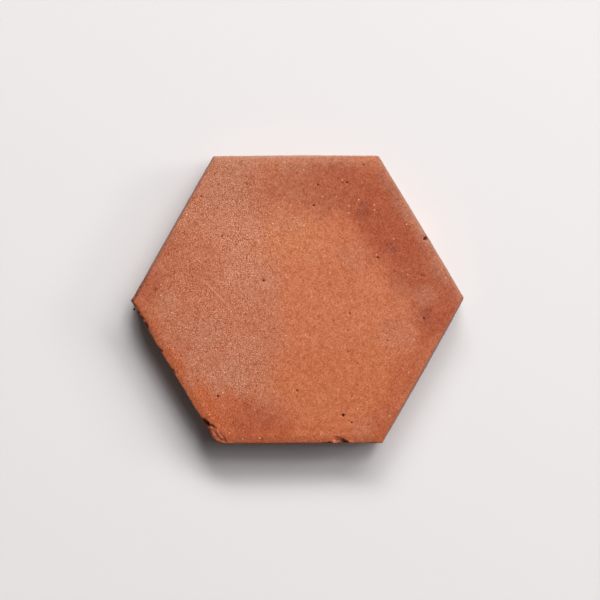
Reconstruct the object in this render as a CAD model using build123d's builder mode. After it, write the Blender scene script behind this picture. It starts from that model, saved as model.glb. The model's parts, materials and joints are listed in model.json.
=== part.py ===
from build123d import *

import os
from math import cos, pi, radians, sin, sqrt
from typing import NamedTuple

# A hexagonal terracotta floor tile, six inches across its flats, hand-pressed and fired in one piece.
#
# The face is flat with a crowned margin that falls gently to a worn arris. The sides lean in a
# little towards the back, so that the clay draws from its mould and the joints close up at the face.
# No side is quite straight and no corner quite true, one corner is broken away, and small shells
# have come off the arris where the tile was knocked.
#
# Frame: the origin is the middle of the back, +Z points out of the face, and +X points to a corner.
# Lengths are millimetres.

# The block of clay
across_flats = 152.4
thickness = 19.0
draft_inset = 0.8  # the back is this much smaller than the face, at every side
corner_radius = 1.2
worn_corner_radius = 3.5
heel_radius = 0.6  # the eased edge round the back

# The crowned margin of the face
crown_width = 4.0
crown_drop = 0.8
crown_corner_radius = 6.0
crown_blend_radius = 12.0  # runs the margin into the flat of the face
arris_radius = 0.8  # the worn edge between the margin and the side


class Corner(NamedTuple):
    """Where a corner lies from a true hexagon's, and how round it is."""

    outward: float
    round_the_tile: float  # anticlockwise
    radius: float


# The hand-made outline. Corners and sides count anticlockwise from the +X corner, and side n runs
# from corner n to the next one.
corners = [
    Corner(outward=0.35, round_the_tile=-0.24, radius=corner_radius),
    Corner(outward=-0.45, round_the_tile=0.18, radius=corner_radius),
    Corner(outward=0.46, round_the_tile=-0.07, radius=corner_radius),
    Corner(outward=0.75, round_the_tile=-0.30, radius=corner_radius),
    Corner(outward=-0.10, round_the_tile=0.15, radius=worn_corner_radius),
    Corner(outward=0.50, round_the_tile=-0.25, radius=corner_radius),
]
side_bow = [0.20, 0.30, 0.04, 0.50, 0.04, 0.40]  # how far the middle of each side swells out


class Chip(NamedTuple):
    """A hollow shell struck off the arris."""

    side: int
    along: float  # from the side's first corner, or back from its last one where negative
    bite: float  # how far it reaches into the face
    drop: float  # how far it runs down the side
    shell: float  # the radius of its hollow


chips = [
    # the broken corner: two shallow flakes that run together, and a nick and a notch before them
    Chip(side=3, along=-14.2, bite=1.2, drop=1.6, shell=1.5),
    Chip(side=3, along=-11.6, bite=2.4, drop=1.6, shell=1.9),
    Chip(side=3, along=-4.2, bite=2.9, drop=0.8, shell=15.0),
    Chip(side=4, along=1.2, bite=2.6, drop=0.8, shell=12.0),
    # the spall near the far end of the next side: a shallow flake, a pock in it and a nick before it
    Chip(side=4, along=-23.6, bite=3.0, drop=0.9, shell=8.0),
    Chip(side=4, along=-20.3, bite=1.9, drop=2.2, shell=2.0),
    Chip(side=4, along=-28.1, bite=0.9, drop=1.1, shell=1.0),
    # nibbles along the most exposed side, and on the two sides across from it
    Chip(side=3, along=11.1, bite=0.9, drop=1.6, shell=1.5),
    Chip(side=3, along=15.7, bite=1.1, drop=1.8, shell=2.2),
    Chip(side=3, along=31.1, bite=0.7, drop=1.2, shell=1.2),
    Chip(side=3, along=43.6, bite=0.8, drop=1.3, shell=1.4),
    Chip(side=2, along=-4.6, bite=0.8, drop=1.2, shell=1.2),
    Chip(side=0, along=37.8, bite=1.1, drop=1.1, shell=1.0),
]

sides = 6
half_turn_of_side = pi / sides
rim_height = thickness - crown_drop


def corner_points(inset):
    """The six corners of the outline, drawn in from every side by inset."""
    reach = (across_flats / 2 - inset) / cos(half_turn_of_side)
    points = []
    for number, corner in enumerate(corners):
        turn = radians(number * 360 / sides)
        radius = reach + corner.outward
        points.append(
            Vector(
                radius * cos(turn) - corner.round_the_tile * sin(turn),
                radius * sin(turn) + corner.round_the_tile * cos(turn),
            )
        )
    return points


def side_frame(number, inset=0.0):
    """The first corner of a side, its length, the direction along it and the outward direction."""
    points = corner_points(inset)
    start = points[number]
    end = points[(number + 1) % sides]
    along = (end - start).normalized()
    outward = Vector(along.Y, -along.X)
    return start, (end - start).length, along, outward


def outline(inset, height, corner_radii):
    """The hexagon at one height, with bowed sides and each corner rounded by its own radius."""
    with BuildSketch(Plane.XY.offset(height)) as section:
        with BuildLine():
            for number in range(sides):
                start, length, along, outward = side_frame(number, inset)
                middle = start + along * (length / 2) + outward * side_bow[number]
                ThreePointArc(start, middle, start + along * length)
        make_face()
        for point, radius in zip(corner_points(inset), corner_radii):
            tip = section.vertices().sort_by_distance((point.X, point.Y, height))[0]
            fillet(tip, radius)
    return section.sketch


def shell_place(chip):
    """The ball whose surface passes bite inside the rim and drop below it, with its seam turned away."""
    start, length, along, outward = side_frame(chip.side)
    distance = chip.along if chip.along >= 0 else length + chip.along
    chord = sqrt(chip.bite**2 + chip.drop**2)
    away = outward * (chip.drop / chord) + Vector(0, 0, chip.bite / chord)
    stand_off = sqrt(chip.shell**2 - (chord / 2) ** 2)
    rim_point = start + along * distance + Vector(0, 0, rim_height)
    middle = rim_point - (outward * chip.bite + Vector(0, 0, chip.drop)) / 2
    return Plane(origin=middle + away * stand_off, x_dir=away, z_dir=along)


def on_level(height):
    """Picks the edges that lie wholly at one height."""
    return lambda edge: all(abs((edge @ share).Z - height) < 0.01 for share in (0, 0.5, 1))


upright_radii = [corner.radius for corner in corners]

with BuildPart() as hexagonal_tile:
    # The body, from the back up to the rim of the crowned margin
    back = outline(draft_inset, 0, upright_radii)
    rim = outline(0, rim_height, upright_radii)
    loft([back, rim], ruled=True)

    # The margin, from the rim up to the flat of the face
    flat = outline(crown_width, thickness, [crown_corner_radius] * sides)
    loft([rim, flat], ruled=True)

    # The margin runs into the flat without a line, and the arris and the heel are eased
    fillet(hexagonal_tile.edges().filter_by(on_level(thickness)), crown_blend_radius)
    fillet(hexagonal_tile.edges().filter_by(on_level(rim_height)), arris_radius)
    fillet(hexagonal_tile.edges().filter_by(on_level(0)), heel_radius)

    # The damage
    for chip in chips:
        with Locations(shell_place(chip)):
            Sphere(chip.shell, mode=Mode.SUBTRACT)

hexagonal_tile.part.label = "hexagonal_tile"

os.makedirs("parts", exist_ok=True)
export_step(hexagonal_tile.part, "parts/hexagonal_tile.step")
print("volume, cubic centimetres:", round(hexagonal_tile.part.volume / 1000, 1))
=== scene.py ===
import json
from math import cos, pi, radians, sin
from typing import NamedTuple

import bmesh
import bpy
from bpy.props import FloatProperty, FloatVectorProperty, IntProperty, PointerProperty
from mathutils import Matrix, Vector, noise

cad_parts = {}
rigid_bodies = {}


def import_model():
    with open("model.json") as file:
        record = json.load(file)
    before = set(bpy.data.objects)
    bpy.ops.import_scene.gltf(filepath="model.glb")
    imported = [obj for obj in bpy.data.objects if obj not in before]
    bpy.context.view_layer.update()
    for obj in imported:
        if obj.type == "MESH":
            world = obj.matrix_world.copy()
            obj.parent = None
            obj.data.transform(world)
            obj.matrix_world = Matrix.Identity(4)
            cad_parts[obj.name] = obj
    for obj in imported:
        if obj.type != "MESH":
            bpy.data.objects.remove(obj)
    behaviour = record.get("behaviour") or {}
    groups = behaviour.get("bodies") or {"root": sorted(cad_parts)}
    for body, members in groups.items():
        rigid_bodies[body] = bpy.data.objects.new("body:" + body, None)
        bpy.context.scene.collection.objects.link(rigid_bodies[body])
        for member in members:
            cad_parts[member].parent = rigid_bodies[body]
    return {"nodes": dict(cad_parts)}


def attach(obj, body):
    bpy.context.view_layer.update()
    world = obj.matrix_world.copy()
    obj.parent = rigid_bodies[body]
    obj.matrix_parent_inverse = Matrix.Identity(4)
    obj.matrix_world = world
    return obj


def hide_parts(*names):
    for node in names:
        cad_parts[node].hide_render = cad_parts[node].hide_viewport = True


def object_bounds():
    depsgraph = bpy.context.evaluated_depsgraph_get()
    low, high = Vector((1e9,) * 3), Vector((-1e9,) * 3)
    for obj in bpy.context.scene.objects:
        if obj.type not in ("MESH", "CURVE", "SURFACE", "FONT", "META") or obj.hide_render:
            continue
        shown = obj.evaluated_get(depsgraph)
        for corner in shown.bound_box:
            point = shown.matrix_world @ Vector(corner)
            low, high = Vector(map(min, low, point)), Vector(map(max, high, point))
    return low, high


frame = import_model()
cad_low, cad_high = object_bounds()

bl_info = {
    "name": "Hexagonal terracotta tile",
    "version": (1, 0, 0),
    "blender": (4, 5, 0),
    "location": "3D View > Sidebar > Tile",
    "description": "Dresses the hexagonal tile with fired clay, grit, pits and breaks, and sets its table",
    "category": "Object",
}

MM = 0.001
PALING = (1.0, 1.9, 2.8)  # a grain as much lighter in red, green and blue as the eye sees
NODE = "hexagonal_tile"
BODY = "root"

# The photograph: where the tile's middle lies in it, its scale and how far the tile is turned.
# Pixels are counted from 0 at the middle of the first one.
PICTURE = 600
MIDDLE_PX = (297.49, 298.94)
MM_PER_PX = 0.5291
TILE_TURN = radians(0.64)

FACE = cad_high.z
KNOCKED = radians(210)  # bearing of the side that took the knocks
LAMP_SIDE_BEARING = radians(50)  # bearing of the sides that are painted darker because they face the lamps
HALF_WIDTH = cad_high.y / MM  # these three in millimetres
RIM = 18.2  # height of the outer rim of the face's crowned margin
MARGIN = 4.0


def spot(across_px, down_px, height=FACE):
    """The point of the tile under a pixel of the photograph."""
    right = (across_px - MIDDLE_PX[0]) * MM_PER_PX * MM
    up = (MIDDLE_PX[1] - down_px) * MM_PER_PX * MM
    return Vector(
        (
            right * cos(TILE_TURN) + up * sin(TILE_TURN),
            up * cos(TILE_TURN) - right * sin(TILE_TURN),
            height,
        )
    )


def paint(red, green, blue):
    """A colour as seen on a screen, 0 to 255, as the linear colour that Blender works in."""

    def linear(share):
        return share / 12.92 if share <= 0.04045 else ((share + 0.055) / 1.055) ** 2.4

    return tuple(linear(channel / 255) for channel in (red, green, blue))


# Node trees written as sums


class Wire:
    """An output socket that can stand in a sum or a product."""

    def __init__(self, bench, socket):
        self.bench = bench
        self.socket = socket

    @property
    def is_vector(self):
        return self.socket.type in ("VECTOR", "RGBA")

    def __add__(self, other):
        return self.bench.math("ADD", self, other)

    def __radd__(self, other):
        return self.bench.math("ADD", other, self)

    def __sub__(self, other):
        return self.bench.math("SUBTRACT", self, other)

    def __rsub__(self, other):
        return self.bench.math("SUBTRACT", other, self)

    def __mul__(self, other):
        return self.bench.math("MULTIPLY", self, other)

    def __rmul__(self, other):
        return self.bench.math("MULTIPLY", other, self)

    def __truediv__(self, other):
        return self.bench.math("DIVIDE", self, other)

    def __pow__(self, other):
        return self.bench.math("POWER", self, other)

    def __lt__(self, other):
        return self.bench.math("LESS_THAN", self, other)

    def floor_at(self, other):
        return self.bench.math("MAXIMUM", self, other)

    def cap_at(self, other):
        return self.bench.math("MINIMUM", self, other)

    def dot(self, other):
        return self.bench.math("DOT_PRODUCT", self, other, out="Value")

    def part(self, axis):
        return self.bench.node("ShaderNodeSeparateXYZ", {}, {"Vector": self}, out=axis)

    def ease(self, start, end):
        """0 at start, 1 at end and smooth between them, also where end is the lower one."""
        return self.bench.node(
            "ShaderNodeMapRange",
            {"interpolation_type": "SMOOTHSTEP"},
            {"Value": self, "From Min": start, "From Max": end},
        )


class Bench:
    """A node tree under construction, of a material or of Geometry Nodes."""

    COLUMNS = 14

    def __init__(self, tree):
        self.tree = tree
        self.count = 0

    def node(self, kind, settings, sockets, out=0):
        """One node: its type, its settings, then the values or links of its sockets."""
        node = self.tree.nodes.new(kind)
        node.location = (190 * (self.count % self.COLUMNS), -260 * (self.count // self.COLUMNS))
        self.count += 1
        for name, value in settings.items():
            setattr(node, name, value)
        for key, value in sockets.items():
            socket = self.find(node.inputs, key)
            if isinstance(value, Wire):
                self.tree.links.new(value.socket, socket)
            elif isinstance(value, list):
                for wire in value:
                    self.tree.links.new(wire.socket, socket)
            else:
                socket.default_value = value
        return Wire(self, self.find(node.outputs, out)) if node.outputs else node

    @staticmethod
    def find(sockets, key):
        if isinstance(key, int):
            return sockets[key]
        enabled = [socket for socket in sockets if socket.enabled]
        for socket in enabled:
            if key in (socket.identifier, socket.name):
                return socket
        raise KeyError(f"no socket {key} among {[socket.identifier for socket in enabled]}")

    def other(self, wire, name):
        """Another output of the node that a wire comes from."""
        return Wire(self, self.find(wire.socket.node.outputs, name))

    def math(self, operation, *terms, out=None):
        vector = any(isinstance(term, tuple) or isinstance(term, Wire) and term.is_vector for term in terms)
        kind = "ShaderNodeVectorMath" if vector else "ShaderNodeMath"
        sockets = {}
        for index, term in enumerate(terms):
            if vector and isinstance(term, (int, float)):
                term = (term, term, term)
            sockets[index] = term
        return self.node(kind, {"operation": operation}, sockets, out=out or 0)

    def blend(self, share, first, second):
        """A colour between two colours."""
        colours = []
        for colour in (first, second):
            colours.append(colour if isinstance(colour, Wire) else (*colour, 1))
        return self.node(
            "ShaderNodeMix",
            {"data_type": "RGBA"},
            {"Factor_Float": share, "A_Color": colours[0], "B_Color": colours[1]},
            out="Result_Color",
        )

    def clouds(self, place, size, detail=2.0, roughness=0.5, out="Fac"):
        """Noise whose lumps are about one size across."""
        return self.node(
            "ShaderNodeTexNoise",
            {},
            {"Vector": place, "Scale": 1 / size, "Detail": detail, "Roughness": roughness},
            out=out,
        )

    def grains(self, place, size, out="Distance", flat=False):
        """Cells about one size across, in space or flat: distance from the middle, or a colour each."""
        settings = {"voronoi_dimensions": "2D" if flat else "3D"}
        return self.node("ShaderNodeTexVoronoi", settings, {"Vector": place, "Scale": 1 / size}, out=out)


class Recipe(Bench):
    """A Geometry Nodes tree with named inputs, run once on a mesh and then taken off."""

    def __init__(self, name):
        super().__init__(bpy.data.node_groups.new(name, "GeometryNodeTree"))
        self.ids = {}
        self.values = {}
        self.tree.interface.new_socket("Geometry", in_out="OUTPUT", socket_type="NodeSocketGeometry")
        self.tree.interface.new_socket("Geometry", in_out="INPUT", socket_type="NodeSocketGeometry")
        self.entry = self.tree.nodes.new("NodeGroupInput")

    def geometry(self):
        return Wire(self, self.entry.outputs["Geometry"])

    def size(self, name, value, kind="NodeSocketFloat"):
        """A named input of the tree and the value that it is run with."""
        socket = self.tree.interface.new_socket(name, in_out="INPUT", socket_type=kind)
        self.ids[name] = socket.identifier
        self.values[name] = value
        return Wire(self, self.entry.outputs[name])

    def finish(self, geometry, material):
        """Realizes what was scattered, gives it its material and closes the tree."""
        real = self.node("GeometryNodeRealizeInstances", {}, {"Geometry": geometry})
        dressed = self.node("GeometryNodeSetMaterial", {}, {"Geometry": real, "Material": material})
        self.node("NodeGroupOutput", {}, {"Geometry": dressed})

    def add_to(self, piece):
        modifier = piece.modifiers.new(self.tree.name, "NODES")
        modifier.node_group = self.tree
        for name, identifier in self.ids.items():
            modifier[identifier] = self.values[name]


def piece_from(name, mesh):
    """A piece at the origin, with its place in its mesh."""
    mesh.name = name
    piece = bpy.data.objects.new(name, mesh)
    bpy.context.scene.collection.objects.link(piece)
    return piece


def bake_down(piece):
    """Turns a piece and its modifiers into a plain mesh."""
    graph = bpy.context.evaluated_depsgraph_get()
    graph.update()
    mesh = bpy.data.meshes.new_from_object(piece.evaluated_get(graph))
    old = piece.data
    piece.modifiers.clear()
    piece.data = mesh
    mesh.name = piece.name
    bpy.data.meshes.remove(old)


# What shows on the face: the fired colours, the damage and the pits

LIP = spot(211.5, 434.5, 16.2 * MM)  # the clay that the break pushed out of the side
LIP_REACH = 4.8  # millimetres


class Stain(NamedTuple):
    """A soft patch of colour: middle in pixels of the photograph, reach in millimetres, turn in degrees."""

    name: str
    middle_px: tuple
    reach: tuple
    turn: float
    tone: str
    strength: float
    softness: float = 0.5


BLOOM = (
    Stain("ash_bloom", (212, 250), (36, 52), 0, "ash", 1.0, 0.22),
    Stain("ash_bloom_low", (222, 338), (33, 42), 0, "ash", 1.0, 0.18),
)
STAINS = [
    *BLOOM,
    Stain("bloom_top", (232, 184), (15, 13), 0, "thick_ash", 0.8),
    Stain("bloom_top_left", (204, 205), (9, 9), 0, "thick_ash", 0.3),
    Stain("bloom_middle", (242, 255), (11, 24), 0, "pale_ash", 0.65),
    Stain("bloom_upper", (226, 226), (14, 6), 0, "pale_ash", 0.6),
    Stain("bloom_low_middle", (243, 350), (10, 9), 0, "pale_ash", 0.4),
    Stain("bloom_corner", (164, 303), (9, 9), 0, "thick_ash", 0.6),
    Stain("bloom_left", (200, 335), (13, 10), 0, "thick_ash", 0.5),
    Stain("bloom_low", (240, 375), (17, 11), 0, "thick_ash", 0.6),
    Stain("bloom_low_right", (270, 392), (8, 9), 0, "thick_ash", 0.5),
    Stain("ember", (340, 388), (40, 26), 0, "ember", 0.9),
    Stain("heart", (290, 238), (18, 13), 10, "heart", 0.8),
    Stain("top_scorch", (312, 186), (33, 14), 0, "scorch", 1.0),
    Stain("top_flush", (346, 186), (20, 16), -20, "flush", 0.6),
    Stain("flank_flush", (396, 238), (38, 15), -57, "flush", 1.0),
    Stain("corner_scorch", (432, 288), (17, 15), 0, "scorch", 0.9),
    Stain("low_flank_flush", (434, 322), (13, 7), 55, "flush", 0.9),
    Stain("left_flush", (165, 263), (24, 9), 60, "scorch", 0.7),
    Stain("left_tip", (142, 286), (9, 9), 0, "scorch", 0.7),
    Stain("left_low_flush", (168, 340), (26, 7), -59, "scorch", 0.5),
    Stain("low_flush", (250, 419), (18, 12), 0, "flush", 0.85),
    Stain("low_flush_margin", (268, 434), (20, 7), 0, "flush", 0.9),
    Stain("low_margin", (322, 437), (45, 8), 0, "rubbed", 0.8),
    Stain("rubbed_edge", (200, 400), (28, 7), -59, "rubbed", 0.9, 0.4),
    Stain("rubbed_edge_up", (153, 336), (24, 4.5), -59, "rubbed", 0.6, 0.35),
    Stain("rubbed_flank", (398, 378), (28, 6), 60, "rubbed", 0.35),
    Stain("pale_patch", (352, 258), (8, 8), 0, "ash", 0.6),
    Stain("corner_flush", (441, 293), (14, 10), 0, "flush", 0.65),
    Stain("corner_flush_up", (420, 275), (8, 6), 0, "flush", 0.9),
    Stain("pale_corner", (425, 296), (4, 7), 0, "thick_ash", 0.45),
    Stain("corner_flush_low", (416, 318), (5, 5), 0, "flush", 0.6),
    Stain("low_right_margin", (421, 369), (42, 4), 60, "flush", 0.35),
    # painted highlight: a paler, greyer band on the margins of the top and upper right sides, which face the
    # lamps
    Stain("top_rim", (295, 160), (47, 4.5), 0, "rim_highlight", 0.5),
    Stain("right_rim", (418, 228), (43, 4.0), -59, "rim_highlight", 0.15),
    Stain("pale_low_flank", (398, 334), (9, 9), 0, "ash", 0.7),
    Stain("pale_low", (362, 428), (8, 5), 0, "ash", 0.6),
    Stain("rubbed_low", (224, 406), (10, 8), 0, "rubbed", 0.6),
    Stain("left_tip_flush", (148, 285), (9, 6), 60, "flush", 0.6),
    Stain("low_right_flush", (385, 422), (10, 10), 0, "flush", 0.45),
    Stain("low_middle", (322, 434), (13, 5), 0, "ember", 0.8),
    Stain("bloom_shoulder", (182, 213), (6, 6), 0, "pale_ash", 0.5),
    Stain("bloom_shoulder_up", (215, 166), (7, 5), 0, "thick_ash", 0.5),
    Stain("bloom_low_left", (194, 374), (6, 9), 0, "thick_ash", 0.5),
    Stain("left_cloud", (195, 276), (7, 7), 0, "scorch", 0.6),
    Stain("bloom_by_heart", (272, 285), (5, 8), 0, "pale_ash", 0.5),
    Stain("bloom_over_heart", (286, 224), (9, 5), 0, "pale_ash", 0.4),
    Stain("low_cloud", (266, 402), (7, 6), 0, "ash", 0.6),
    Stain("pale_flank", (414, 223), (8, 5), -59, "thick_ash", 0.5),
    Stain("right_margin", (418.2, 227.9), (60, 3.4), -59.5, "grime_and_shade", 0.22),
    Stain("right_corner_margin", (391, 181), (10, 4), -59.5, "smudge", 0.38),
    Stain("low_flank", (409, 368), (15, 7), 60, "flush", 0.35),
    Stain("left_flush_up", (166, 246), (6, 5), 60, "flush", 0.4),
    Stain("smudge_top", (364, 209), (4.0, 4.5), 0, "smudge", 0.4),
    Stain("smudge_flank", (392, 246), (4.5, 4.5), 0, "smudge", 0.3),
    Stain("smudge_corner", (424, 316), (3.0, 2.5), 0, "smudge", 0.4),
]


MARKS = [
    # thin lines along the arris: painted highlights on the top and upper right ones, which face the lamps,
    # and painted shade on the upper left and lower right ones, which the lamps barely reach, and on those by
    # the left corner
    Stain("top_line", (295.4, 155.2), (60, 1.1), 0, "pale_highlight_line", 0.6),
    Stain("upper_right_line", (420.8, 226.4), (60, 1.2), -59.5, "grey_highlight_line", 0.6),
    Stain("lower_right_line", (423.3, 369.9), (60, 1.1), 60, "grime_and_shade", 0.8),
    Stain("upper_left_line", (171.8, 228.1), (60, 1.1), 59.8, "grime_and_shade", 0.8),
    Stain("tip_line", (138.6, 290.0), (12, 0.8), 60, "shade_line", 0.55),
    Stain("tip_line_low", (139.8, 313.2), (14, 0.9), -59.5, "shade_line", 0.6),
    # the burst blister: its hollow darkened with painted shade
    Stain("blister", (425.2, 237.8), (1.1, 0.8), 0, "soot_and_shade", 0.95),
    Stain("scratch_long", (214, 291), (8.5, 0.5), -46, "scratch", 0.6),
    Stain("scratch_short", (219, 281), (4.5, 0.45), -20, "scratch", 0.5),
    # the broken corner: its lit ridge with a painted highlight, the red line behind it and its dark rim in
    # painted shade, pale lumps below it painted lighter against their shade, and painted shade in the notch
    Stain("pale_lumps", (213.0, 432.0), (2.8, 1.1), -70, "fresh_clay_and_highlight", 0.7),
    Stain("ridge", (219.4, 435.0), (4.6, 1.2), -51, "fresh_clay_and_highlight", 1.0),
    Stain("red_line", (222.6, 435.4), (3.0, 0.6), -51, "shade_line", 0.7),
    Stain("red_shade", (216.8, 434.8), (3.4, 0.5), -59, "shade_line", 0.5),
    Stain("red_shade_low", (213.1, 436.6), (1.1, 0.5), -50, "shade_line", 0.6),
    Stain("notch", (205.2, 421.4), (2.2, 1.1), -50, "soot_and_shade", 0.8),
    Stain("notch_end", (211.6, 425.5), (1.7, 0.6), -30, "soot_and_shade", 0.85),
    Stain("rim_of_break", (209.2, 431.0), (3.2, 0.9), -66, "shade_line", 0.9),
    Stain("rim_of_break_low", (212.9, 437.8), (2.8, 0.95), -55, "shade_line", 0.9),
    Stain("rim_of_break_end", (218.6, 441.8), (2.4, 0.6), -22, "shade_line", 0.8),
    # the spall: its upper edge, its end and the pale lumps in it with painted highlights, its painted
    # shadow, and the nick before it in painted shade
    Stain("spall_edge", (337.0, 437.3), (3.0, 0.6), -6, "fresh_clay_and_highlight", 0.5),
    Stain("spall_shade", (343.2, 440.2), (1.6, 0.9), -35, "soot_and_shade", 0.65),
    Stain("spall_shade_low", (346.0, 441.9), (1.5, 0.5), 0, "soot_and_shade", 0.5),
    Stain("spall_lump", (333.6, 440.3), (1.4, 0.7), -20, "fresh_clay_and_highlight", 0.7),
    Stain("spall_end", (350.8, 440.6), (1.8, 0.5), -10, "fresh_clay_and_highlight", 0.6),
    Stain("spall_nick", (329.0, 441.9), (1.3, 0.7), 0, "soot_and_shade", 0.6),
]


class Pit(NamedTuple):
    """A hole where something burnt out or fell out. Reach and height over the back are in millimetres."""

    middle_px: tuple
    reach: float
    height: float = FACE / MM


PITS = [
    Pit((342.5, 414.9), 0.95),
    Pit((313.3, 204.9), 0.65),
    Pit((346.4, 182.0), 0.60),
    Pit((317.3, 184.4), 0.60),
    Pit((363.0, 164.4), 0.50),
    Pit((377.2, 257.2), 0.60),
    Pit((263.1, 280.3), 0.70),
    Pit((421.2, 275.2), 0.50),
    Pit((349.3, 313.2), 0.55),
    Pit((347.2, 330.0), 0.52),
    Pit((387.3, 340.3), 0.50),
    Pit((423.2, 317.8), 0.60),
    Pit((351.2, 422.4), 0.55),
    Pit((296.4, 390.4), 0.60),
    Pit((347.3, 351.3), 0.45),
    Pit((221.4, 236.0), 0.60),
    Pit((200.8, 196.2), 0.55),
    Pit((179.3, 218.0), 0.65),
    Pit((217.2, 395.8), 0.70),
    # nicks along the arris, whose shade the pits' dark colour paints in
    Pit((134.9, 295.6), 0.5, 18.2),
    Pit((139.4, 287.0), 0.5, 18.2),
    Pit((138.4, 312.8), 0.6, 18.0),
    Pit((141.1, 318.6), 0.5, 18.0),
    Pit((145.9, 327.2), 0.55, 18.0),
    Pit((161.9, 350.9), 0.6, 18.0),
    Pit((172.7, 371.7), 0.6, 18.0),
    Pit((204.4, 418.9), 0.75, 18.0),
    # the crevice at the back of the broken corner, whose shade the pits' dark colour paints in
    Pit((205.6, 422.4), 0.55, 16.8),
    Pit((207.4, 423.2), 0.60, 17.0),
    Pit((206.8, 425.0), 0.50, 16.7),
    Pit((208.9, 424.6), 0.60, 17.3),
    Pit((210.6, 424.6), 0.60, 18.4),
    Pit((212.0, 425.2), 0.60, 18.6),
    Pit((213.4, 426.4), 0.55, 18.7),
    Pit((214.8, 427.6), 0.45, 18.8),
    Pit((221.9, 433.2), 0.30, 18.9),
    Pit((223.2, 435.4), 0.28, 18.9),
    # the dark spot in the spall
    Pit((336.5, 440.1), 0.42, 17.7),
    # the burst blister by the upper right side, whose hollow the pits' dark colour fills with painted shade
    Pit((423.9, 238.6), 0.75, 18.65),
    Pit((424.9, 237.6), 0.80, 18.50),
    Pit((425.9, 237.6), 0.75, 18.30),
]


class Break(NamedTuple):
    """Where clay has come away and the torn body of the tile shows."""

    middle_px: tuple
    reach: float
    height: float = FACE / MM


BREAKS = [
    Break((211.0, 429.0), 7.5),
    Break((220.0, 438.0), 5.0),
    Break((204.5, 418.0), 2.5),
    Break((339.0, 440.0), 5.5),
    Break((329.6, 442.0), 1.5),
    Break((425.3, 237.8), 1.6),
]


# What the breaks left standing, as chains of swellings, none higher than the face: the ridge in the
# broken corner and the upper edge of the spall
RIDGES = [
    Break((216.2, 430.2), 1.1),
    Break((217.3, 432.2), 1.2),
    Break((218.6, 434.3), 1.2),
    Break((220.0, 436.4), 1.2),
    Break((221.6, 438.4), 1.1),
    Break((223.4, 440.2), 1.0),
    Break((334.6, 436.0), 0.8),
    Break((336.5, 435.7), 1.1),
    Break((338.6, 436.1), 1.2),
    Break((340.8, 436.6), 1.3),
    Break((342.9, 437.3), 1.2),
    Break((344.8, 438.3), 1.1),
    Break((346.7, 439.4), 1.0),
    Break((348.2, 440.6), 0.9),
]


class Crumb(NamedTuple):
    """A grain held fast in the face, at the arris or in a break. Its tone runs from 0, burnt, to 1, lime."""

    middle_px: tuple
    height: float
    radius: float
    tone: float


# Pale grains pressed flush with the face
PALE_GRAINS = [
    (272.2, 223.2), (303.2, 225.2), (160.2, 284.2), (205.0, 338.2), (171.2, 312.2), (263.4, 285.2),
    (358.2, 199.2), (287.2, 277.2), (160.2, 295.2), (222.2, 392.2), (226.2, 346.2), (259.2, 438.0),
    (186.2, 214.2), (251.2, 275.2), (320.2, 433.8), (376.2, 254.2), (357.2, 408.2), (199.2, 300.2),
]
CRUMBS = [
    *(Crumb(middle_px, height=18.60, radius=0.48, tone=1.0) for middle_px in PALE_GRAINS),
    # burnt ones by the left corner, pale ones in the broken corner and the spall
    Crumb((131.2, 299.8), 18.20, 0.45, 0.0),
    Crumb((133.7, 308.8), 17.90, 0.62, 0.0),
    Crumb((203.4, 417.6), 17.8, 0.40, 0.80),
    Crumb((332.8, 440.0), 18.0, 0.42, 0.85),
]


def length_setting(name, description, millimetres):
    """A length that a user may change."""
    return FloatProperty(
        name=name, description=description, default=millimetres * MM, min=0.0,
        subtype="DISTANCE", unit="LENGTH",
    )


def share_setting(name, description, value, low=0.0):
    """A share that a user may change."""
    return FloatProperty(
        name=name, description=description, default=value, min=low, max=1.0, subtype="FACTOR"
    )


def colour_setting(name, description, *seen):
    """A colour that a user may change."""
    return FloatVectorProperty(
        name=name, description=description, size=3, subtype="COLOR", default=paint(*seen), min=0.0, max=1.0
    )


class TileRelief(bpy.types.PropertyGroup):
    """Sizes of the fired surface."""

    mesh_size: length_setting("Mesh size", "Side of the squares that the slab is remeshed with", 0.40)
    triangles: IntProperty(
        name="Triangles", description="How many triangles the finished slab may have",
        default=196000, min=20000,
    )
    swell: length_setting("Swell", "Height of the slow waves in the face", 0.16)
    lumps: length_setting("Lumps", "Height of the pressed lumps of clay", 0.10)
    sand: length_setting("Sand", "Height of the sandy grain", 0.10)
    drag: length_setting("Drag lines", "Depth of the lines that the mould drew along the sides", 0.25)
    bedding: length_setting("Bedding", "Depth of the hollows that the sand bed left in the back", 0.35)
    nibbles: length_setting("Nibbles", "Depth of the small bites out of the arris", 0.30)
    lip: length_setting("Lip", "How far the clay below the broken corner was pushed out", 0.65)
    ridge: length_setting("Ridge", "How high the ridges in the breaks stand", 0.55)
    torn: length_setting("Torn clay", "Height of the crumbs on a broken surface", 0.45)
    pit_density: FloatProperty(
        name="Pits", description="Pinholes to the square metre", default=5200.0, min=0.0
    )
    pit_radius: length_setting("Pit radius", "Radius of the largest chance pinhole", 0.42)
    seed: IntProperty(name="Seed", description="Picks the arrangement of pits and grit", default=7)


class TileGrit(bpy.types.PropertyGroup):
    """Sizes of the grit in the clay."""

    density: FloatProperty(
        name="Grit", description="Grains of grit to the square metre of the tile",
        default=42000.0, min=0.0,
    )
    finest: length_setting("Finest grain", "Radius of the finest grain", 0.10)
    coarsest: length_setting("Coarsest grain", "Radius of the coarsest grain", 0.36)
    sunk: share_setting(
        "Sunk", "Share of a grain's radius that its middle lies under the surface", 0.55, low=-1.0
    )


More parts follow.
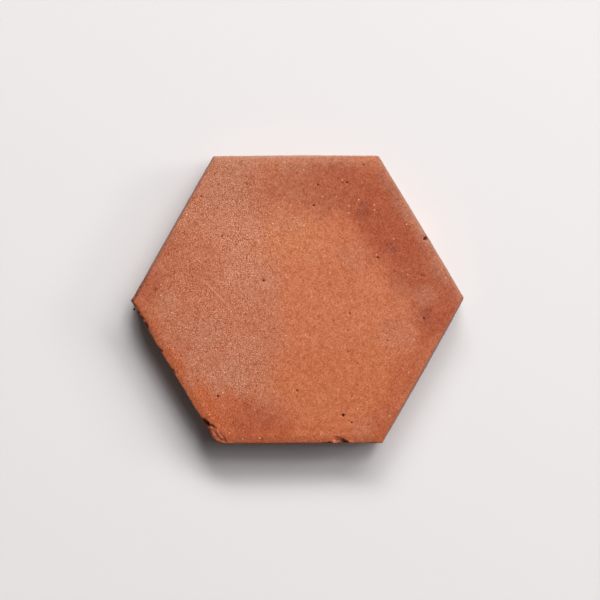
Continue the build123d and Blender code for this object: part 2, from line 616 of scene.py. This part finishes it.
class TileColours(bpy.types.PropertyGroup):
    """Colours of the fired clay."""

    clay: colour_setting("Clay", "The open-fired body of the tile", 199, 115, 79)
    pale_clay: colour_setting("Pale clay", "Where the body fired a little paler", 202, 119, 83)
    heart: colour_setting("Heart", "The yellower heart of the face, where it fired hottest", 202, 123, 83)
    ember: colour_setting("Ember", "The brighter orange of the lower half", 197, 111, 73)
    ash: colour_setting("Ash bloom", "The thin grey bloom of ash and salts", 192, 116, 85)
    thick_ash: colour_setting("Thick bloom", "The bloom where it is thickest", 188, 123, 95)
    scorch: colour_setting("Scorch", "The browner clay at the edges", 183, 107, 77)
    flush: colour_setting("Flush", "The red-brown flush of the fire", 172, 88, 60)
    rubbed: colour_setting("Rubbed edge", "Bare bright clay along the worn margin", 190, 98, 60)
    smudge: colour_setting("Smudge", "Small dark smudges of soot", 138, 74, 58)
    pale_ash: colour_setting("Pale bloom", "The bloom where it lies bright and thin", 200, 130, 101)
    # painted highlight on the margins of the face that face the lamps
    rim_highlight: colour_setting("Rim dust", "Pale dust on the margin of the face", 178, 120, 94)
    scratch: colour_setting("Scratch", "Pale dust in the scratches", 214, 152, 124)
    torn_clay: colour_setting("Torn clay", "The fresh inside of the tile where it broke", 206, 120, 86)
    # fresh clay, brightened into a painted highlight on the ridges, edges and lumps of the breaks
    fresh_clay_and_highlight: colour_setting("Fresh clay", "The brightest lumps in the broken corner", 240, 132, 96)
    # painted shade: the dark lines along the risers of the breaks and along the arrises by the left corner
    shade_line: colour_setting("Crack", "The shaded lines of the broken corner", 112, 56, 42)
    # soot at the bottoms of pits, and painted shade in the pits, nicks, notch, blister and spall
    soot_and_shade: colour_setting("Soot", "The bottom of a pit", 92, 30, 15)
    iron: colour_setting("Iron", "The darkest specks", 52, 24, 18)
    lime: colour_setting("Lime", "The palest specks", 234, 180, 142)
    # painted highlight on the top arris, which faces the lamps
    pale_highlight_line: colour_setting("Pale line", "The top arris, paled by dust", 176, 140, 120)
    # painted highlight on the upper right arris, which faces the lamps
    grey_highlight_line: colour_setting("Grey line", "The upper right arris, greyed by dust", 160, 128, 110)
    # painted shade on the upper left and lower right arrises, which the lamps barely reach, and a grimy band
    # on the upper right margin
    grime_and_shade: colour_setting("Grime", "The grimy arrises left and right", 142, 104, 92)
    side_clay: colour_setting("Side clay", "The sides, which the fire browned", 128, 72, 52)
    # the sides painted darker where they face the lamps, to hold down the red light that they throw on the
    # table
    lamp_facing_side: colour_setting("Dark side", "The sides that the fire browned most", 98, 64, 52)
    mould_sand: colour_setting("Mould sand", "Sand fired on to the back and sides", 190, 126, 92)


class TileStage(bpy.types.PropertyGroup):
    """The table, the lamps and the camera."""

    table: colour_setting("Table", "Colour of the table top", 236, 232, 231)
    level: FloatProperty(
        name="Light level", description="1 shows a colour in the middle of the table as it is written",
        default=1.0, min=0.0,
    )
    sky: share_setting("Sky", "The share of the light that comes from all round", 0.058)
    camera_height: FloatProperty(
        name="Camera height", description="From the table to the camera",
        default=1.5, min=0.3, subtype="DISTANCE", unit="LENGTH",
    )


# Materials


def principled(bench, colour, roughness, bump=None, specular=0.2):
    """The clay's shader. The things that vary over a surface are its colour, roughness and normal."""
    sockets = {"Base Color": colour, "Roughness": roughness, "Specular IOR Level": specular}
    if bump is not None:
        sockets["Normal"] = bump
    shader = bench.node("ShaderNodeBsdfPrincipled", {}, sockets)
    bench.node("ShaderNodeOutputMaterial", {}, {"Surface": shader})


def new_material(name):
    material = bpy.data.materials.new(name)
    material.use_nodes = True
    material.node_tree.nodes.clear()
    return material, Bench(material.node_tree)


def wander(bench, place, size, reach, detail=2):
    """A push to any side, by up to half a reach, in waves about one size long."""
    return (bench.clouds(place, size, detail=detail, out="Color") - 0.5) * reach


def stain_share(bench, place, stain):
    """How strongly a stain shows at a place in millimetres: 1 in its middle, 0 past its edge."""
    away = place - tuple(spot(*stain.middle_px) / MM)
    turn = radians(stain.turn)
    long, short = stain.reach
    along = away.dot((cos(turn) / long, sin(turn) / long, 0.0))
    across = away.dot((-sin(turn) / short, cos(turn) / short, 0.0))
    distance = (along * along + across * across) ** 0.5
    shown = distance.ease(1 + stain.softness, 1 - stain.softness) * stain.strength
    shown.socket.node.label = stain.name
    return shown


def fired_clay(colours):
    """The slab: fired colours in soft patches, sandy grain, pits, pale specks and torn breaks."""
    material, bench = new_material("fired_terracotta")
    place = bench.node("ShaderNodeTexCoord", {}, {}, out="Object") / MM
    facing = bench.node("ShaderNodeNewGeometry", {}, {}, out="Normal").part("Z")
    face = place.part("Z").ease(10.0, 17.0)

    # The body of the clay, with slow clouds
    cloud = bench.clouds(place, 19.0, detail=3)
    colour = bench.blend(cloud.ease(0.35, 0.68), colours.clay, colours.pale_clay)

    # The patches of the firing, with ragged edges
    ragged = place + wander(bench, place, 11.0, 15.0, detail=3) + wander(bench, place, 1.6, 4.0)
    for stain in STAINS:
        shown = stain_share(bench, ragged, stain) * face
        colour = bench.blend(shown, colour, getattr(colours, stain.tone))

    # Mottling at the width of a fingertip
    mottle = bench.clouds(place, 6.5, detail=3, roughness=0.6)
    colour = colour * (1 + (mottle - 0.5) * 0.10)

    # Sand: every grain has its own tone, and the bloom sprinkles the face with pale dust
    dusty = [stain_share(bench, ragged, stain._replace(softness=0.45)) for stain in BLOOM]
    sandy = dusty[0].floor_at(dusty[1]) * face * bench.clouds(place, 9.0).ease(0.25, 0.60)
    grain = bench.grains(place, 0.75, out="Color")
    fine_grain = bench.grains(place, 0.42, out="Color")
    dots = bench.grains(place, 0.84, flat=True).ease(0.40, 0.06)
    tone = (
        (grain.part("X") - 0.5) * 0.15
        + (fine_grain.part("X") - 0.5) * 0.34
        + (bench.clouds(place, 1.3, detail=2) - 0.5) * (0.33 + sandy * 0.24)
        + (bench.clouds(place, 3.0, detail=2) - 0.5) * 0.24
        + (dots - 0.16) * (0.08 + sandy * 0.56)
    )
    colour = colour * (1 + tone * PALING)

    # Pale specks and dark pinholes, one cell in a few; the pinholes are flat, with their shade painted in
    for size, radius, chosen, strength, shade in (
        (3.4, 0.42, 0.16, 0.7, colours.lime),
        (2.6, 0.34, 0.18, 0.5, colours.soot_and_shade),
    ):
        distance = bench.grains(place, size) * size
        picked = bench.grains(place, size, out="Color").part("X") < chosen
        fleck = distance.ease(radius * 1.25, radius * 0.75) * picked
        colour = bench.blend(fleck * strength, colour, shade)

    # The fire browned the sides, and they are painted darker still where they face the lamps, to hold down
    # the red light that they throw on the table; they and the back took up mould sand
    side = facing.ease(0.8, 0.4) * facing.ease(-0.8, -0.4)
    facing_lamps = place.dot((cos(LAMP_SIDE_BEARING), sin(LAMP_SIDE_BEARING), 0.0)).ease(-40, 60)
    side_colour = bench.blend(facing_lamps, colours.side_clay, colours.lamp_facing_side)
    fired = 0.4 + bench.clouds(place, 24.0, detail=3).ease(0.2, 0.5) * 0.6
    colour = bench.blend(side * fired, colour, side_colour)
    skin = bench.clouds(place, 3.0, detail=4, roughness=0.65).ease(0.42, 0.62)
    colour = bench.blend(skin * facing.ease(0.1, -0.6) * 0.7, colour, colours.mould_sand)
    streaks = bench.clouds(place * (0.08, 0.08, 1.0), 1.2, detail=3, roughness=0.6)
    colour = bench.blend(streaks.ease(0.52, 0.72) * side * 0.30, colour, colours.mould_sand)
    colour = bench.blend(streaks.ease(0.42, 0.26) * side * 0.35, colour, colours.smudge)

    # Torn clay in the breaks, the fine marks with their painted highlights and shade, and soot in the pits,
    # which also paints the shade in them
    torn = bench.node("ShaderNodeAttribute", {"attribute_name": "torn"}, {}, out="Fac")
    colour = bench.blend(torn.ease(0.2, 0.7) * 0.7, colour, colours.torn_clay)
    wavy = place + wander(bench, place, 1.6, 1.2)
    seen_from_above = facing.ease(0.0, 0.35)
    for mark in MARKS:
        shown = stain_share(bench, wavy, mark) * seen_from_above
        colour = bench.blend(shown, colour, getattr(colours, mark.tone))
    # the pits' dark colour: soot, and the shade in the pits, nicks and crevice painted in
    pit = bench.node("ShaderNodeAttribute", {"attribute_name": "pit"}, {}, out="Fac")
    colour = bench.blend(pit.ease(0.1, 0.9) * 0.8, colour, colours.soot_and_shade)

    # The finest relief
    rise = bench.clouds(place, 0.9, detail=3, roughness=0.65) + grain.part("Z") * 0.4
    bump = bench.node(
        "ShaderNodeBump", {}, {"Height": rise, "Strength": 0.6, "Distance": 0.16 * MM}
    )
    roughness = 0.93 - bench.clouds(place, 9.0) * 0.12
    principled(bench, colour, roughness, bump)
    return material


def grit_material(colours):
    """Grit: each grain has its own tone, from iron brown through clay to lime."""
    if "burnt_grit" in bpy.data.materials:
        return bpy.data.materials["burnt_grit"]
    material, bench = new_material("burnt_grit")
    tone = bench.node("ShaderNodeAttribute", {"attribute_name": "tone"}, {}, out="Fac")
    colour = bench.blend(tone.ease(0.05, 0.35), colours.iron, colours.clay)
    colour = bench.blend(tone.ease(0.80, 0.98), colour, colours.lime)
    place = bench.node("ShaderNodeTexCoord", {}, {}, out="Object") / MM
    colour = colour * (0.8 + bench.clouds(place, 0.3) * 0.4)
    principled(bench, colour, 0.85)
    return material


# Geometry


def write_values(mesh, name, values):
    """Gives every point of a mesh a number."""
    mesh.attributes.new(name, "FLOAT", "POINT").data.foreach_set("value", values)


def points_piece(name, items):
    """Loose points, one to a pit or a break, that carry its reach, for a recipe to read."""
    mesh = bpy.data.meshes.new(name)
    mesh.from_pydata([spot(*item.middle_px, item.height * MM) for item in items], [], [])
    write_values(mesh, "reach", [item.reach * MM for item in items])
    return piece_from(name, mesh)


def relief_recipe(sizes, pits, breaks, ridges, material):
    """Cuts a smooth slab back by its swell, lumps and sand, sinks its pits and tears its breaks."""
    recipe = Recipe("fired_clay_relief")
    swell = recipe.size("Swell", sizes.swell)
    lumps = recipe.size("Lumps", sizes.lumps)
    sand = recipe.size("Sand", sizes.sand)
    drag = recipe.size("Drag lines", sizes.drag)
    bedding = recipe.size("Bedding", sizes.bedding)
    nibbles = recipe.size("Nibbles", sizes.nibbles)
    torn_height = recipe.size("Torn clay", sizes.torn)
    lip_height = recipe.size("Lip", sizes.lip)
    density = recipe.size("Pit density", sizes.pit_density)
    pit_radius = recipe.size("Pit radius", sizes.pit_radius)
    seed = recipe.size("Seed", sizes.seed, "NodeSocketInt")
    pit_piece = recipe.size("Known pits", pits, "NodeSocketObject")
    break_piece = recipe.size("Breaks", breaks, "NodeSocketObject")
    ridge_piece = recipe.size("Ridge", ridges, "NodeSocketObject")
    ridge_height = recipe.size("Ridge height", sizes.ridge)

    slab = recipe.geometry()
    place = recipe.node("GeometryNodeInputPosition", {}, {}) / MM
    normal = recipe.node("GeometryNodeInputNormal", {}, {})
    up = normal.part("Z")
    height = place.part("Z")

    def keep(geometry, name, value):
        return recipe.node(
            "GeometryNodeStoreNamedAttribute",
            {"data_type": "FLOAT", "domain": "POINT"},
            {"Geometry": geometry, "Name": name, "Value": value},
        )

    def loose_points(piece):
        mesh = recipe.node("GeometryNodeObjectInfo", {}, {"Object": piece}, out="Geometry")
        return recipe.node("GeometryNodeMeshToPoints", {}, {"Mesh": mesh}, out="Points")

    def nearest(points):
        """Distance to the nearest point, and that point's reach."""
        distance = recipe.node(
            "GeometryNodeProximity", {"target_element": "POINTS"}, {"Target": points}, out="Distance"
        )
        index = recipe.node("GeometryNodeSampleNearest", {"domain": "POINT"}, {"Geometry": points})
        stored = recipe.node(
            "GeometryNodeInputNamedAttribute", {"data_type": "FLOAT"}, {"Name": "reach"}, out="Attribute"
        )
        reach = recipe.node(
            "GeometryNodeSampleIndex",
            {"data_type": "FLOAT", "domain": "POINT"},
            {"Geometry": points, "Value": stored, "Index": index},
        )
        return distance, reach

    # Pits: chance ones all over, and the known ones
    chance = recipe.node(
        "GeometryNodeDistributePointsOnFaces",
        {"distribute_method": "RANDOM"},
        {"Mesh": slab, "Density": density, "Seed": seed},
        out="Points",
    )
    size = recipe.node(
        "FunctionNodeRandomValue", {"data_type": "FLOAT"}, {"Min_001": 0.3, "Max_001": 1.0, "Seed": seed},
        out="Value_001",
    )
    chance = keep(chance, "reach", size * size * pit_radius)
    holes = recipe.node("GeometryNodeJoinGeometry", {}, {"Geometry": [chance, loose_points(pit_piece)]})
    crooked = (recipe.clouds(place, 0.8, detail=1) - 0.5) * 0.5
    distance, reach = nearest(holes)
    pit = (distance / reach + crooked).ease(1.15, 0.35)
    depth = pit * reach * 1.5

    # How far in from the flat sides a place lies, and the face that was there before the breaks
    reach_out = 0
    for number in range(3):
        turn = radians(30 + 60 * number)
        off_axis = recipe.math("ABSOLUTE", place.dot((cos(turn), sin(turn), 0.0)))
        reach_out = off_axis.floor_at(reach_out)
    inset = HALF_WIDTH - reach_out
    unbroken = RIM + (inset / MARGIN).floor_at(0).cap_at(1) * (FACE / MM - RIM)

    # Breaks: torn clay near their middles, on what lies lower than the face did
    distance, reach = nearest(loose_points(break_piece))
    torn = (distance / reach + crooked).ease(1.0, 0.8)
    torn = torn * (unbroken - height).ease(0.08, 0.25) * up.ease(-0.1, 0.15)
    crumbs = recipe.clouds(place, 1.7, detail=4, roughness=0.7).ease(0.3, 0.75)
    depth = depth + crumbs * torn * torn_height

    # The ridges that the breaks left stand up to the level of the face
    distance, reach = nearest(loose_points(ridge_piece))
    missing = (unbroken - height).floor_at(0) * MM
    depth = depth - (distance / reach + crooked * 0.5).ease(1.0, 0.35) * missing.cap_at(ridge_height)

    # The lip below the broken corner stands out of the side
    lip = recipe.math("DISTANCE", place, tuple(LIP / MM), out="Value").ease(LIP_REACH, 1.0)
    depth = depth - lip * up.ease(0.9, 0.5) * lip_height

    # Swell, lumps and sand all over, rougher where the clay wasn't pressed against the table
    def rough(size, detail, height):
        return (recipe.clouds(place, size, detail=detail, roughness=0.6) - 0.3).floor_at(0) * 1.6 * height

    edge = up.ease(0.97, 0.8) * up.ease(-0.5, 0.2)
    side = up.ease(0.6, 0.2) * up.ease(-0.6, -0.2)
    under = up.ease(-0.6, -0.9)
    depth = depth + rough(34.0, 1, swell)
    depth = depth + rough(5.5, 2, lumps) * (1 + edge * 0.3 + side * 1.4)
    depth = depth + rough(1.25, 2, sand) * (1 + edge * 0.4 + side * 1.5)

    # The arris is nibbled, most of all on the side that took the knocks
    knocked = place.dot((cos(KNOCKED), sin(KNOCKED), 0.0)).ease(66.0, 74.0)
    bites = recipe.clouds(place, 2.6, detail=3, roughness=0.6).ease(0.52, 0.74)
    depth = depth + bites * edge * (1 + knocked * 1.4) * nibbles

    # The sides carry drag lines from the mould, and the back the hollows of its sand bed
    lines = recipe.clouds(place * (0.07, 0.07, 1.0), 1.3, detail=3, roughness=0.55).ease(0.45, 0.75)
    depth = depth + lines * side * drag
    hollows = recipe.clouds(place, 3.4, detail=3, roughness=0.6).ease(0.50, 0.72)
    depth = depth + hollows * under * bedding

    slab = keep(keep(slab, "pit", pit), "torn", torn)
    slab = recipe.node("GeometryNodeSetPosition", {}, {"Geometry": slab, "Offset": normal * (depth * -1.0)})
    slab = recipe.node("GeometryNodeSetShadeSmooth", {}, {"Geometry": slab, "Shade Smooth": True})
    recipe.finish(slab, material)
    return recipe


def grit_recipe(sizes, seed, grain, material):
    """Scatters half-sunk grains over a surface, each turned, sized and toned by chance."""
    recipe = Recipe("scattered_grit")
    density = recipe.size("Density", sizes.density)
    finest = recipe.size("Finest grain", sizes.finest)
    coarsest = recipe.size("Coarsest grain", sizes.coarsest)
    sunk = recipe.size("Sunk", sizes.sunk)
    highest = recipe.size("Highest", FACE)
    seed = recipe.size("Seed", seed, "NodeSocketInt")
    grain_piece = recipe.size("Grain", grain, "NodeSocketObject")

    def chance(low, high, step, kind="FLOAT"):
        name = {"FLOAT": "_001", "FLOAT_VECTOR": ""}[kind]
        return recipe.node(
            "FunctionNodeRandomValue",
            {"data_type": kind},
            {f"Min{name}": low, f"Max{name}": high, "Seed": seed + step},
            out=f"Value{name}",
        )

    up = recipe.node("GeometryNodeInputNormal", {}, {}).part("Z")
    points = recipe.node(
        "GeometryNodeDistributePointsOnFaces",
        {"distribute_method": "RANDOM"},
        {"Mesh": recipe.geometry(), "Density": density, "Seed": seed},
        out="Points",
    )
    share = chance(0.0, 1.0, 1)
    radius = finest + (coarsest - finest) * share ** 6.0
    shape = chance((0.7, 0.7, 0.55), (1.15, 1.15, 0.9), 2, "FLOAT_VECTOR")
    turned = recipe.node(
        "FunctionNodeRotateRotation",
        {"rotation_space": "LOCAL"},
        {
            "Rotation": recipe.other(points, "Rotation"),
            "Rotate By": recipe.node(
                "FunctionNodeEulerToRotation", {},
                {"Euler": chance((-0.4, -0.4, 0.0), (0.4, 0.4, 2 * pi), 3, "FLOAT_VECTOR")},
            ),
        },
    )
    instance = recipe.node("GeometryNodeObjectInfo", {}, {"Object": grain_piece}, out="Geometry")
    grit = recipe.node(
        "GeometryNodeInstanceOnPoints",
        {},
        {"Points": points, "Instance": instance, "Rotation": turned, "Scale": shape * radius},
    )
    grit = recipe.node(
        "GeometryNodeStoreNamedAttribute",
        {"data_type": "FLOAT", "domain": "INSTANCE"},
        {"Geometry": grit, "Name": "tone", "Value": chance(0.0, 1.0, 4)},
    )
    drop = recipe.node("ShaderNodeCombineXYZ", {}, {"Z": sunk * -1.0})
    grit = recipe.node("GeometryNodeTranslateInstances", {}, {"Instances": grit, "Translation": drop})

    # No grain stands above the face or below the back
    grit = recipe.node("GeometryNodeRealizeInstances", {}, {"Geometry": grit})
    place = recipe.node("GeometryNodeInputPosition", {}, {})
    pressed = recipe.node(
        "ShaderNodeCombineXYZ",
        {},
        {"X": place.part("X"), "Y": place.part("Y"), "Z": place.part("Z").cap_at(highest).floor_at(0.0)},
    )
    grit = recipe.node("GeometryNodeSetPosition", {}, {"Geometry": grit, "Position": pressed})
    recipe.finish(grit, material)
    return recipe


def pebble(detail, start=Vector()):
    """One grain of unit radius. Another start in the noise gives another grain."""
    shape = bmesh.new()
    bmesh.ops.create_icosphere(shape, subdivisions=detail, radius=1.0)
    for vertex in shape.verts:
        vertex.co *= 1 + 0.22 * noise.noise(vertex.co * 1.7 + start)
    return shape


def crumb_mesh(crumbs):
    """The known crumbs in one mesh, with their tone."""
    places, faces, tones = [], [], []
    for number, crumb in enumerate(crumbs):
        grain = pebble(2, Vector((number, 0, 0)) * 5)
        middle = spot(*crumb.middle_px, crumb.height * MM)
        first = len(places)
        grown = [middle + vertex.co * crumb.radius * MM for vertex in grain.verts]
        places += [(place.x, place.y, min(place.z, FACE)) for place in grown]
        faces += [[first + vertex.index for vertex in face.verts] for face in grain.faces]
        tones += [crumb.tone] * len(grain.verts)
        grain.free()
    mesh = bpy.data.meshes.new("crumbs")
    mesh.from_pydata(places, [], faces)
    write_values(mesh, "tone", tones)
    return mesh


class CraftOperator:
    """What the operators share: they act on the open scene and can be undone."""

    bl_options = {"REGISTER", "UNDO"}


class TILE_OT_slab(CraftOperator, bpy.types.Operator):
    """Models the fired slab over the plain one"""

    bl_idname = "tile.slab"
    bl_label = "Fire the slab"

    def execute(self, context):
        sizes = context.scene.tile_relief
        node = frame["nodes"].get(NODE)
        if node is None:
            raise RuntimeError("The packed part has no tile to dress")
        merged = bmesh.new()
        merged.from_mesh(node.data)
        bmesh.ops.remove_doubles(merged, verts=merged.verts, dist=1e-6)
        mesh = bpy.data.meshes.new("slab")
        merged.to_mesh(mesh)
        merged.free()
        slab = piece_from("slab", mesh)
        even = slab.modifiers.new("even_mesh", "REMESH")
        even.mode = "VOXEL"
        even.voxel_size = sizes.mesh_size

        pits = points_piece("known_pits", PITS)
        breaks = points_piece("known_breaks", BREAKS)
        ridges = points_piece("known_ridge", RIDGES)
        material = fired_clay(context.scene.tile_colours)
        relief_recipe(sizes, pits, breaks, ridges, material).add_to(slab)
        bake_down(slab)
        slab.data.calc_loop_triangles()
        found = len(slab.data.loop_triangles)
        thin = slab.modifiers.new("thinned", "DECIMATE")
        thin.ratio = min(1.0, sizes.triangles / found)
        bake_down(slab)
        for helper in (pits, breaks, ridges):
            bpy.data.objects.remove(helper)
        if not slab.data.polygons:
            raise RuntimeError("The slab came out empty")
        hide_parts(NODE)
        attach(slab, BODY)
        print("slab triangles", len(slab.data.polygons), "before thinning", found)
        return {"FINISHED"}


class TILE_OT_grit(CraftOperator, bpy.types.Operator):
    """Scatters half-sunk grit over the slab"""

    bl_idname = "tile.grit"
    bl_label = "Scatter the grit"

    def execute(self, context):
        slab = bpy.data.objects.get("slab")
        if slab is None:
            raise RuntimeError("The grit needs the slab")
        shape = pebble(1)
        mesh = bpy.data.meshes.new("grain")
        shape.to_mesh(mesh)
        shape.free()
        grain = piece_from("grain", mesh)
        grit = piece_from("grit", slab.data.copy())
        material = grit_material(context.scene.tile_colours)
        grit_recipe(context.scene.tile_grit, context.scene.tile_relief.seed, grain, material).add_to(grit)
        bake_down(grit)
        bpy.data.objects.remove(grain)
        if not grit.data.polygons:
            raise RuntimeError("No grit came out")
        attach(grit, BODY)
        print("grit faces", len(grit.data.polygons))
        return {"FINISHED"}


class TILE_OT_crumbs(CraftOperator, bpy.types.Operator):
    """Sets the known crumbs into the face, the arris and the breaks"""

    bl_idname = "tile.crumbs"
    bl_label = "Set the crumbs"

    def execute(self, context):
        crumbs = piece_from("crumbs", crumb_mesh(CRUMBS))
        crumbs.data.materials.append(grit_material(context.scene.tile_colours))
        crumbs.data.shade_smooth()
        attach(crumbs, BODY)
        return {"FINISHED"}


# The table, the light and the camera


def plain_floor(colour):
    """A wide table top under the tile."""
    half = 4.0  # metres
    corners = [(-half, -half, 0), (half, -half, 0), (half, half, 0), (-half, half, 0)]
    mesh = bpy.data.meshes.new("table_top")
    mesh.from_pydata(corners, [], [(0, 1, 2, 3)])
    table = piece_from("table_top", mesh)
    material, bench = new_material("pale_table")
    principled(bench, (*colour, 1), 0.9, specular=0.0)
    mesh.materials.append(material)


class Lamp(NamedTuple):
    """A soft box, by its bearing and height in degrees, its size in metres and its share of the light."""

    name: str
    bearing: float
    height: float
    width: float
    tall: float
    share: float


LAMP_DISTANCE = 5.0  # metres
LAMPS = (
    Lamp("low_box", 12, 22, 1.6, 1.0, 0.085),
    Lamp("right_box", 36, 34, 2.6, 1.05, 0.085),
    Lamp("inner_right_box", 52, 34, 2.6, 1.05, 0.128),
    Lamp("middle_box", 73, 40.5, 2.6, 1.05, 0.198),
    Lamp("left_box", 89.5, 34, 2.6, 1.05, 0.22),
    Lamp("high_strip", 56, 56, 1.0, 1.4, 0.133),
    Lamp("top_box", 15, 68, 2.0, 1.4, 0.077),
)


def hang(lamp, share):
    """Hangs a lamp, aimed at the tile, that gives its share of a plain level of light on the table."""
    bearing, height = radians(lamp.bearing), radians(lamp.height)
    away = Vector((cos(height) * cos(bearing), cos(height) * sin(bearing), sin(height)))
    turn = away.to_track_quat("Z", "Y")

    # What one watt gives the middle of the table, summed over the lamp
    steps = 12
    given = 0.0
    for across in range(steps):
        for down in range(steps):
            right = ((across + 0.5) / steps - 0.5) * lamp.width
            up = ((down + 0.5) / steps - 0.5) * lamp.tall
            place = turn @ Vector((right, up, 0)) + away * LAMP_DISTANCE
            given += place.normalized().z * place.normalized().dot(away) / place.length_squared
    given /= steps**2 * pi**2

    data = bpy.data.lights.new(lamp.name, "AREA")
    data.shape = "RECTANGLE"
    data.size = lamp.width
    data.size_y = lamp.tall
    data.energy = share / given
    light = bpy.data.objects.new(lamp.name, data)
    light.location = away * LAMP_DISTANCE
    light.rotation_euler = turn.to_euler()
    bpy.context.scene.collection.objects.link(light)


class TILE_OT_stage(CraftOperator, bpy.types.Operator):
    """Lays the table, hangs the lamps and sets the camera over the tile"""

    bl_idname = "tile.stage"
    bl_label = "Set the stage"

    def execute(self, context):
        stage = context.scene.tile_stage
        plain_floor(stage.table)
        shares = sum(lamp.share for lamp in LAMPS)
        for lamp in LAMPS:
            hang(lamp, stage.level * (1 - stage.sky) * lamp.share / shares)
        world = bpy.data.worlds.new("even_sky")
        world.use_nodes = True
        world.node_tree.nodes["Background"].inputs["Color"].default_value = (1, 1, 1, 1)
        world.node_tree.nodes["Background"].inputs["Strength"].default_value = stage.level * stage.sky
        context.scene.world = world

        data = bpy.data.cameras.new("camera")
        seen = PICTURE * MM_PER_PX * MM
        data.lens = data.sensor_width * (stage.camera_height - FACE) / seen
        camera = bpy.data.objects.new("camera", data)
        aim = spot((PICTURE - 1) / 2, (PICTURE - 1) / 2)
        camera.location = (aim.x, aim.y, stage.camera_height)
        camera.rotation_euler = (0, 0, -TILE_TURN)
        context.scene.collection.objects.link(camera)
        context.scene.camera = camera
        context.scene.view_settings.view_transform = "Standard"
        return {"FINISHED"}


class TILE_PT_panel(bpy.types.Panel):
    """The tile's sizes, colours and steps"""

    bl_idname = "TILE_PT_panel"
    bl_label = "Terracotta tile"
    bl_space_type = "VIEW_3D"
    bl_region_type = "UI"
    bl_category = "Tile"

    def draw(self, context):
        layout = self.layout
        for group in (
            context.scene.tile_relief,
            context.scene.tile_grit,
            context.scene.tile_colours,
            context.scene.tile_stage,
        ):
            box = layout.box()
            for name in group.__annotations__:
                box.prop(group, name)
        for operator in OPERATORS:
            layout.operator(operator.bl_idname)


GROUPS = {
    "tile_relief": TileRelief,
    "tile_grit": TileGrit,
    "tile_colours": TileColours,
    "tile_stage": TileStage,
}
OPERATORS = (TILE_OT_slab, TILE_OT_grit, TILE_OT_crumbs, TILE_OT_stage)


def register():
    for name, group in GROUPS.items():
        bpy.utils.register_class(group)
        setattr(bpy.types.Scene, name, PointerProperty(type=group))
    for operator in OPERATORS:
        bpy.utils.register_class(operator)
    bpy.utils.register_class(TILE_PT_panel)


def unregister():
    bpy.utils.unregister_class(TILE_PT_panel)
    for operator in reversed(OPERATORS):
        bpy.utils.unregister_class(operator)
    for name, group in GROUPS.items():
        delattr(bpy.types.Scene, name)
        bpy.utils.unregister_class(group)


def main():
    register()
    bpy.ops.tile.slab()
    bpy.ops.tile.grit()
    bpy.ops.tile.crumbs()
    bpy.ops.tile.stage()


if __name__ == "__main__":
    main()
